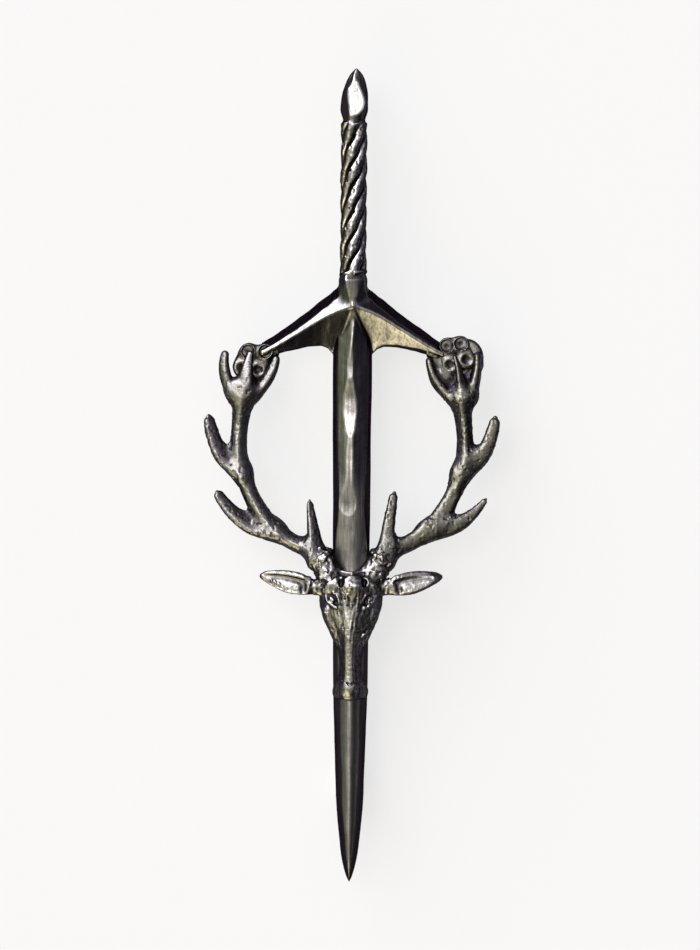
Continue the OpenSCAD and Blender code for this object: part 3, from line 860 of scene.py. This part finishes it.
def skull_form(cube):
    """Rounded block whose top is cut by the planes of the brow."""
    wide, tall, square = (between(HEAD, i) for i in (1, 2, 3))

    def distance(x, y, z):
        t = CROWN - y
        w, h, p = wide(t), tall(t), square(t)
        up = np.maximum(z - SKULL_FOOT, 0) / (h - SKULL_FOOT)
        f = ((np.abs(x) / w) ** p + up**p + 1e-9) ** (1 / p) - 1
        f = f * w
        f = common(f, (z - brow_planes(x, t, h)) * 0.9, 0.4)
        f = np.maximum(f, np.maximum(HEAD[0][0] - t, t - HEAD[-1][0]))
        return np.clip(evened(f, cube), -FAR, FAR)

    return [-4.3, CHIN - 0.2, 0], [4.3, CROWN + 0.3, 5.8], distance


def skull_height(x, t):
    """Height of the skull x from its middle and t below its crown."""
    wide, tall, square = (float(between(HEAD, i)(t)) for i in (1, 2, 3))
    share = min(abs(x) / wide, 1.0)
    round_top = SKULL_FOOT + (tall - SKULL_FOOT) * (1 - share**square) ** (1 / square)
    return min(round_top, float(brow_planes(x, t, tall)))


def spot(x, t, lift):
    """Point x from the middle of the face and t below its crown, lift above the skull."""
    return x, CROWN - t, skull_height(x, t) + lift


def face(*places):
    return [spot(*place) for place in places]


def add_brow(clay):
    """Brows, the crest of hair between them, and two short grooves below it."""
    brow = face((1.95, 2.6, -0.2), (2.5, 3.0, -0.15), (3.1, 3.7, -0.1))
    clay.add(both(line(brow, 0.42, 0.42)), 0.5)
    clay.add(ball(spot(0.2, 3.2, -0.4), (1.5, 1.3, 0.62)), 0.8)
    crest = [(-0.3, 2.75, 0.32), (0.65, 3.15, 0.34), (-0.2, 3.5, 0.32), (0.5, 2.5, 0.28), (-0.5, 3.1, 0.26)]
    for x, t, r in crest:
        clay.add(ball(spot(x, t, 0.02), (r * 1.3, r, r)), 0.3)
    clay.cut(stroke(face((-1.7, 1.6, 0.1), (0.1, 1.8, 0.1), (1.8, 1.6, 0.1)), [0.35, 0.42, 0.35]), 0.15)
    for x, t in [(-1.25, 2.75), (1.65, 2.8)]:
        clay.cut(ball(spot(x, t, 0.3), (0.35, 0.6, 0.75)), 0.3)
    clay.cut(stroke(face((-0.3, 4.6, 0.1), (-0.33, 5.8, 0.15)), [0.16, 0.1]), 0.3)
    clay.cut(stroke(face((0.65, 4.9, 0.05), (0.72, 6.5, 0.1)), [0.16, 0.1]), 0.25)


def add_eyes(clay):
    """Slanting almonds in shallow sockets, each between two lids."""
    slant = -34
    clay.cut(both(ball(spot(2.3, 4.95, 0.3), (0.55, 0.85, 0.55), slant)), 0.4)
    clay.add(both(ball(spot(2.28, 4.95, -0.3), (0.34, 0.55, 0.4), slant)), 0.08)
    inner_lid = face((2.2, 4.05, 0.0), (1.75, 4.4, 0.0), (1.5, 4.9, 0.0), (1.4, 5.3, -0.05))
    clay.add(both(line(inner_lid, 0.1, 0.16)), 0.2)
    outer_lid = face((3.1, 4.5, 0.0), (2.75, 5.2, 0.02), (2.2, 5.65, 0.02), (1.7, 5.9, -0.05))
    clay.add(both(line(outer_lid, 0.14, 0.2)), 0.25)


def add_muzzle(clay):
    """Cheekbones from the eyes towards the mouth, the nose's bridge and pad, its nostrils and the mouth."""
    cheek = face((2.9, 6.3, -0.25), (2.5, 7.6, -0.2), (2.0, 9.0, -0.2), (1.5, 10.2, -0.25))
    clay.add(both(line(cheek, 0.42, 0.3)), 0.6)
    clay.add(ball(spot(1.72, 9.15, 0.05), (0.2, 0.62, 0.36), -48), 0.1)
    clay.cut(both(ball((3.95, CROWN - 8.6, 1.8), (0.8, 1.9, 1.2), -28)), 0.5)
    bridge = face((-0.1, 7.2, -0.95), (-0.15, 9.5, -0.66), (-0.15, 12.0, -0.5), (-0.1, 15.6, -0.52))
    clay.add(line(bridge, 0.7, 0.68, 6, ridge=2.8), 0.4)
    clay.add(ball(spot(-0.15, 16.0, -0.45), (1.1, 1.3, 0.5)), 0.9)
    nostril = face((0.08, 15.45, 0.25), (0.45, 15.05, 0.25), (0.95, 14.8, 0.2))
    clay.cut(both(line(nostril, 0.1, 0.18)), 0.12)
    mouth = [(0.2, CHIN, 2.5), (1.4, CHIN + 0.3, 2.45), (2.1, CHIN + 1.2, 2.45), (1.8, CHIN + 2.9, 2.5)]
    clay.cut(both(line(mouth, 0.12, 0.12)), 0.15)


def make_head():
    """Head with its ears and the antlers' feet."""
    clay = Clay([-11.9, CHIN - 0.8, -0.5], [11.9, CROWN + 4.2, 6.9], cube=0.087)
    clay.add(skull_form(clay.cube))
    add_brow(clay)
    add_eyes(clay)
    add_muzzle(clay)
    # round step in which the blade's upper stretch ends
    clay.cut(drum((-0.05, CROWN + 1.03), 2.5, 1.0, 8.0, 0.2), 0.15)
    for side in (1, -1):
        add_antler_foot(clay, side)
    for side in (1, -1):
        add_ear(clay, side)
    clay.stand(0.2)
    clay.roughen(head_surface)
    return clay.piece("stag_head")


def head_surface(x, y, z):
    """Combed hair on the forehead and cheeks, rough burrs under the antlers, and a smooth nose."""
    t = CROWN - y
    a = np.abs(x)
    comb = 0.5 - np.abs(lumps(x + 0.12 * t * np.sign(x), y * 0.2, z, 0.42, 41))
    comb += 0.5 * lumps(x, y * 0.4, z, 0.27, 47)
    coarse = lumps(x, y * 0.5, z, 0.8, 42) * 0.04
    burr_zone = fade(a, 1.7, 2.4) * fade(t, 3.6, 2.2) * fade(a, 6.2, 5.0)
    burr = lumps(x, y, z, 0.55, 43) * 0.13 + fade(lumps(x, y, z, 0.42, 44), 0.2, 0.6) * 0.12
    pits = fade(lumps(x, y, z, 0.4, 45), 0.45, 0.75) * 0.07
    hair_zone = fade(t, 2.6, 3.4) * fade(t, 12.0, 8.5) * fade(a, 5.2, 4.2)
    fine = lumps(x, y, z, 0.3, 46) * 0.015
    return (comb * 0.09 + coarse) * hair_zone + burr * burr_zone - pits * (hair_zone + burr_zone) + fine


def add_antler_foot(clay, side):
    """Short stump with the rough burr that arches over the antler's foot."""
    stump = [(side * x, CROWN + y, z) for x, y, z in ((2.75, -1.7, 2.4), (3.3, -0.5, 2.4), (4.0, 0.5, 2.35))]
    clay.add(stroke(stump, [1.75, 1.55, 1.3], wall=0.3), 0.5)
    middle = np.array([side * 3.75, CROWN + 0.1, 2.35])
    across = np.array([side * 0.78, -0.62, 0])
    for share in np.linspace(0, 1, 9):
        a = math.pi * share
        place = middle + across * 1.45 * math.cos(a) + np.array([0, 0, 1.3]) * math.sin(a)
        clay.add(ball(place, (0.42, 0.42, 0.4)), 0.25)


EAR_LUMPS = [
    # distance from the pin's middle, distance above the ear's root, size
    (6.45, -0.3, 0.3),
    (6.95, -0.05, 0.34),
    (7.4, -0.2, 0.32),
    (7.85, 0.15, 0.34),
    (8.3, 0.15, 0.3),
    (8.75, 0.5, 0.3),
    (9.25, 0.75, 0.26),
    (9.7, 0.95, 0.22),
    (6.4, 0.45, 0.2),
]
EAR = [
    # distance along the ear from its root, half width above and below its middle, height of its middle
    (0.0, 1.0, 1.0, 3.3),
    (1.2, 0.95, 1.0, 3.1),
    (1.7, 0.98, 1.05, 3.1),
    (2.3, 1.16, 1.2, 3.35),
    (3.3, 1.34, 1.38, 3.35),
    (4.9, 1.4, 1.44, 3.15),
    (6.0, 1.26, 1.2, 3.0),
    (7.1, 0.98, 0.86, 2.85),
    (8.0, 0.66, 0.52, 2.5),
    (8.5, 0.24, 0.2, 2.2),
]


def add_ear(clay, side):
    """Leaf that stands out from the side of the head, with a rolled rim and a hollow front."""
    up, down, height = (between(EAR, i) for i in (1, 2, 3))
    root_x, root_y, tilt = 2.9, CROWN - 3.65, math.radians(11)
    c, s = math.cos(tilt), math.sin(tilt)

    def distance(x, y, z):
        dx, dy = side * x - root_x, y - root_y
        along = dx * c + dy * s
        across = dy * c - dx * s
        half = np.where(across > 0, up(along), down(along))
        u = np.clip(np.abs(across) / half, 0, 1.6)
        share = across / half
        rim = bell((u - 0.9) / 0.14) * 0.07 * fade(along, 1.8, 2.5)
        hollow = fade(along, 2.2, 2.9) * (1 - fade(along, 7.4, 8.4))
        hollow = hollow * fade(share, 0.62, 0.3) * fade(share, -1.0, -0.75)
        facing = 0.2 * across - 0.13 * (along - 2.5) if side > 0 else 0.1 * across
        front = height(along) + 0.42 * (1 - 0.5 * u * u) + rim - (0.3 + facing) * hollow
        behind = height(along) - 0.62 * (1 - 0.55 * u * u)
        edge = np.maximum((np.abs(across) - half) * 0.93, np.maximum(along - EAR[-1][0], -along))
        d = common((z - front) * 0.85, (behind - z) * 0.85, 0.2)
        return common(d, edge, 0.42)

    left, right = sorted((side * root_x, side * 11.3))
    muscle = [(side * x, root_y + y, z) for x, y, z in ((2.4, 0.4, 2.3), (3.4, 0.3, 2.6), (4.3, 0.35, 2.8))]
    clay.add(stroke(muscle, [1.25, 1.0, 0.8], wall=0.6), 0.4)
    clay.add(([left, root_y - 2.2, 1.6], [right, root_y + 2.2, 4.6], distance), 0.3)
    # tufts of hair inside the ear, and the fold that runs up its root and along its upper third
    for x, y, r in EAR_LUMPS:
        place = (side * x, root_y + y, 3.2 - 0.05 * (x - 5.5))
        clay.add(ball(place, (r * 0.6, r * 1.5, 0.22), side * -25), 0.12)
    fold = [(5.95, -0.1), (5.9, 0.5), (6.3, 0.95), (7.2, 1.2), (8.5, 1.42), (9.8, 1.52)]
    fold = [(side * x, root_y + y, 3.66 if side > 0 else 3.62 - 0.08 * (x - 5.5)) for x, y in fold]
    clay.cut(line(fold, 0.3, 0.2, 4), 0.3)


# Materials


class Nodes:
    """Builds the nodes of a material or world."""

    def __init__(self, material):
        material.use_nodes = True
        self.tree = material.node_tree
        self.tree.nodes.clear()

    def add(self, kind, values=(), **settings):
        node = self.tree.nodes.new(kind)
        for key, value in settings.items():
            setattr(node, key, value)
        for key, value in dict(values).items():
            if isinstance(value, bpy.types.NodeSocket):
                self.tree.links.new(value, node.inputs[key])
            else:
                node.inputs[key].default_value = value
        return node

    def noise(self, where, scale, detail=2.0, rough=0.5):
        values = {"Vector": where, "Scale": scale, "Detail": detail, "Roughness": rough}
        return self.add("ShaderNodeTexNoise", values).outputs["Fac"]

    def places(self, scale):
        """Places on the object in metres, times scale along each axis."""
        place = self.add("ShaderNodeTexCoord").outputs["Object"]
        return self.add("ShaderNodeMapping", {"Vector": place, "Scale": scale}).outputs[0]

    def math(self, operation, a, b=0.0):
        return self.add("ShaderNodeMath", {0: a, 1: b}, operation=operation).outputs[0]

    def times(self, a, b):
        return self.math("MULTIPLY", a, b)

    def ramp(self, value, low, high, to_low=0.0, to_high=1.0):
        """Value mapped from low..high to to_low..to_high, softly."""
        values = {"Value": value, "From Min": low, "From Max": high, "To Min": to_low, "To Max": to_high}
        return self.add("ShaderNodeMapRange", values, interpolation_type="SMOOTHSTEP").outputs["Result"]

    def mix(self, share, a, b):
        """Colour b by share, the rest a."""
        return self.add("ShaderNodeMix", {0: share, 6: a, 7: b}, data_type="RGBA").outputs[2]

    def bump(self, height, strength, depth, **under):
        """Normal bent by a height, on top of the one under it."""
        values = {"Height": height, "Strength": strength, "Distance": depth, **under}
        return self.add("ShaderNodeBump", values).outputs["Normal"]

    def surface(self, values):
        shader = self.add("ShaderNodeBsdfPrincipled", values)
        self.add("ShaderNodeOutputMaterial", {"Surface": shader.outputs[0]})


PER_MM = (1000, 1000, 1000)
WHITE = (1, 1, 1, 1)
# Cast metal: three polished colours, the olive one darker with painted shade and a painted olive reflection;
# three dark colours, for the patina and painted shade of its hollows and the painted shade of its sides; its
# worn edges and the undarkened metal
BRIGHT = (0.5, 0.49, 0.46, 1)
SOFT = (0.4, 0.395, 0.365, 1)
PAINTED_SHADE_OLIVE = (0.35, 0.35, 0.285, 1)
DARK = (0.03, 0.026, 0.031, 1)
GREY = (0.09, 0.083, 0.092, 1)
VIOLET = (0.115, 0.102, 0.122, 1)
WORN_EDGE = (0.92, 0.91, 0.88, 1)
PLAIN = (0.3, 0.285, 0.28, 1)


def cast_metal(name, bright, dull, rough, streaks=0.0, grain=0.8, worn=1.0, painted_shade_below=0.68, edges=0.0):
    """Polished cast metal: bright where it stands out and faces forward, dark with painted shade where it
    leans away from the front, mottled and dark in its hollows with patina and painted shade, plainer where
    its sides stand upright and behind, duller towards the point by as much as its streaks, with streaks,
    grain, specks and worn edges."""
    material = bpy.data.materials.new(name)
    n = Nodes(material)
    where = n.places(PER_MM)
    along = n.places((3800, 160, 3800))
    normal = n.add("ShaderNodeTexCoord").outputs["Normal"]
    facing = n.add("ShaderNodeSeparateXYZ", {"Vector": normal}).outputs["Z"]
    fine, broad = (n.add("ShaderNodeAttribute", attribute_name=key).outputs["Fac"] for key in RELIEF)
    grains = n.noise(where, 5.5, 4.0, 0.6)
    streak = n.noise(along, 1.0, 3.0, 0.6)
    height = n.add("ShaderNodeSeparateXYZ", {"Vector": where}).outputs["Y"]
    # 1 where the metal is polished and lit, 0 where it is dark: patina and painted shade in its hollows, and
    # painted shade where it leans away from the front
    polish_and_shade = n.times(n.math("ADD", n.ramp(fine, -0.13, 0.06), n.ramp(broad, -0.1, 0.03)), 0.5)
    # painted shade: where the metal leans further from the front than the facing threshold, it loses its
    # polish and turns dark
    polish_and_shade = n.times(polish_and_shade, n.ramp(facing, painted_shade_below, painted_shade_below + 0.12))
    # random tone in the polish; worn set below 1 also darkens the whole piece with painted shade
    polish_and_shade = n.times(polish_and_shade, n.ramp(n.noise(where, 0.55, 3.0), 0.3, 0.6, 0.8 * worn, worn))
    polish_and_shade = n.times(polish_and_shade, n.ramp(streak, 0.3, 0.6, 1.0 - 0.5 * streaks, 1.0))
    speck = n.ramp(n.noise(where, 3.1, 2.0), 0.3, 0.4, 0.45, 1.0)
    polish_and_shade = n.times(polish_and_shade, n.mix(grain, WHITE, speck))
    polish_and_shade = n.times(polish_and_shade, n.ramp(height, -6.0, 6.0, 1.0 - 0.42 * streaks, 1.0))
    mottle = n.ramp(n.noise(where, 2.2, 4.0, 0.65), 0.3, 0.7)
    # dull dark colour where patina and painted shade take the polish away, the polished colour elsewhere
    colour = n.mix(polish_and_shade, n.mix(mottle, DARK, dull), bright)
    colour = n.mix(n.times(polish_and_shade, n.ramp(fine, 0.1, 0.2, 0.0, edges)), colour, WORN_EDGE)
    colour = n.mix(n.ramp(facing, 0.0, 0.14, 0.55, 0.0), colour, PLAIN)
    roughness = n.ramp(polish_and_shade, 0.1, 0.9, rough + 0.16, rough)
    roughness = n.math("ADD", roughness, n.ramp(grains, 0.3, 0.7, -0.03, 0.05))
    roughness = n.math("ADD", roughness, n.ramp(height, -2.0, 3.0, 0.12 * streaks, 0.0))
    normal = n.bump(n.noise(where, 0.42, 2.0), 0.5, 0.00012)
    normal = n.bump(streak, 0.35 * streaks, 0.00003, Normal=normal)
    normal = n.bump(grains, 0.25 + 0.5 * grain, 0.00003, Normal=normal)
    values = {"Base Color": colour, "Metallic": 1.0, "Roughness": roughness, "Normal": normal}
    n.surface({**values, "Specular Tint": (0.3, 0.29, 0.3, 1)})
    return material


def pin_steel():
    """Drawn and plated steel, with fine lines along the bar, cloudy shades and faint spots."""
    material = bpy.data.materials.new("pin_steel")
    n = Nodes(material)
    where = n.places(PER_MM)
    lines = n.noise(n.places((9000, 220, 9000)), 1.0, 3.0, 0.65)
    spots = n.ramp(n.noise(where, 1.4, 3.0), 0.52, 0.7)
    cloud = n.noise(where, 0.3, 3.0)
    colour = n.mix(n.ramp(cloud, 0.35, 0.65), (0.42, 0.41, 0.39, 1), (0.55, 0.54, 0.52, 1))
    colour = n.mix(n.times(spots, 0.35), colour, (0.2, 0.18, 0.15, 1))
    roughness = n.ramp(lines, 0.3, 0.7, 0.24, 0.36)
    normal = n.bump(lines, 0.3, 0.00004)
    normal = n.bump(n.noise(where, 4.0, 2.0), 0.2, 0.00003, Normal=normal)
    n.surface({"Base Color": colour, "Metallic": 1.0, "Roughness": roughness, "Normal": normal})
    return material


def floor_paint():
    """Matt paint that glows a little, for a floor as white as the photograph's ground."""
    material = bpy.data.materials.new("floor_paint")
    glow = {"Emission Color": WHITE, "Emission Strength": 0.7}
    Nodes(material).surface({"Base Color": (0.3, 0.3, 0.3, 1), "Roughness": 0.9, **glow})
    return material


# Studio


def make_floor():
    """Just below the pin's feet, so that the two don't share a plane."""
    side, low = 0.6, -0.00005
    mesh = bpy.data.meshes.new("floor")
    corners = [(-side, -side, low), (side, -side, low), (side, side, low), (-side, side, low)]
    mesh.from_pydata(corners, [], [(0, 1, 2, 3)])
    floor = linked("floor", mesh)
    mesh.materials.append(floor_paint())


# Light from all round, and the studio's soft lights: where each comes from, how narrow it is, its colour
NIGHT = (0.012, 0.011, 0.014)
SKY = [
    ((-0.08, -0.1, 1.0), 10.0, (0.46, 0.45, 0.36)),
    ((-0.287, 0.241, 0.927), 45.0, (4.6, 4.5, 4.7)),
    ((-0.571, 0.731, 0.375), 14.0, (4.6, 4.5, 4.9)),
    ((-0.61, 0.35, 0.71), 16.0, (0.75, 0.7, 0.84)),
    ((-0.615, -0.1, 0.788), 16.0, (0.55, 0.53, 0.35)),
    ((-0.866, 0.0, 0.5), 7.0, (0.08, 0.11, 0.02)),
    ((-0.41, -0.77, 0.5), 20.0, (2.4, 2.1, 1.42)),
    ((0.88, 0.32, 0.34), 20.0, (0.05, 0.04, 0.07)),
    ((0.37, 0.32, 0.87), 16.0, (0.52, 0.47, 0.6)),
]


def make_sky():
    """World whose light comes mostly from the upper left, with tan from the lower left."""
    world = bpy.data.worlds.new("studio")
    bpy.context.scene.world = world
    n = Nodes(world)
    way = n.add("ShaderNodeTexCoord").outputs["Generated"]
    total = NIGHT
    for toward, narrow, colour in SKY:
        unit = tuple(np.array(toward) / np.linalg.norm(toward))
        dot = n.add("ShaderNodeVectorMath", {0: way, 1: unit}, operation="DOT_PRODUCT").outputs["Value"]
        share = n.math("EXPONENT", n.times(n.math("SUBTRACT", dot, 1.0), narrow))
        light = n.add("ShaderNodeVectorMath", {0: colour, "Scale": share}, operation="SCALE").outputs[0]
        total = n.add("ShaderNodeVectorMath", {0: total, 1: light}, operation="ADD").outputs[0]
    background = n.add("ShaderNodeBackground", {"Color": total})
    n.add("ShaderNodeOutputWorld", {"Surface": background.outputs[0]})


def make_camera():
    """Straight down, with the photograph's slight roll."""
    view_height, away, lift = 0.1167, 1.2, 0.007
    shift, roll = -0.000215, 0.387
    data = bpy.data.cameras.new("camera")
    camera = linked("camera", data)
    data.sensor_fit = "VERTICAL"
    data.sensor_height = 24
    data.lens = data.sensor_height * away / view_height
    data.clip_end = 10
    camera.location = (shift, 0, away + lift)
    camera.rotation_euler = (0, 0, math.radians(roll))
    bpy.context.scene.camera = camera


def finish_piece(obj, material):
    obj.data.materials.append(material)
    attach(obj, "root")
    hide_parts("casting")


def main():
    """Makes the pieces and the studio."""
    smooth_cast = cast_metal("smooth_cast", BRIGHT, DARK, 0.11, streaks=1.0, grain=0.25, edges=1.0)
    head_cast = cast_metal("head_cast", BRIGHT, GREY, 0.22)
    # the antlers are one metal: the right copy is darker, painted shade with a painted olive reflection, and
    # dark over more of its sides
    left_cast = cast_metal("left_cast", SOFT, VIOLET, 0.28, painted_shade_below=0.7)
    right_cast_painted_shade = cast_metal("right_cast_painted_shade", PAINTED_SHADE_OLIVE, VIOLET, 0.26, painted_shade_below=0.84)
    # the quatrefoils: a darker copy of the cast metal, painted shade
    foil_cast_painted_shade = cast_metal("foil_cast_painted_shade", SOFT, GREY, 0.24, worn=0.85)
    finish_piece(make_hilt(), smooth_cast)
    finish_piece(make_guard_blade(), smooth_cast)
    finish_piece(make_quatrefoil(1, "quatrefoil_right"), foil_cast_painted_shade)
    finish_piece(make_quatrefoil(-1, "quatrefoil_left"), foil_cast_painted_shade)
    finish_piece(make_head(), head_cast)
    finish_piece(make_antler(1, "antler_right"), right_cast_painted_shade)
    finish_piece(make_antler(-1, "antler_left"), left_cast)
    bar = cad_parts["bar_pin"]
    bar.data.materials.clear()
    bar.data.materials.append(pin_steel())
    make_floor()
    make_sky()
    make_camera()
    bpy.context.scene.view_settings.view_transform = "Standard"


main()
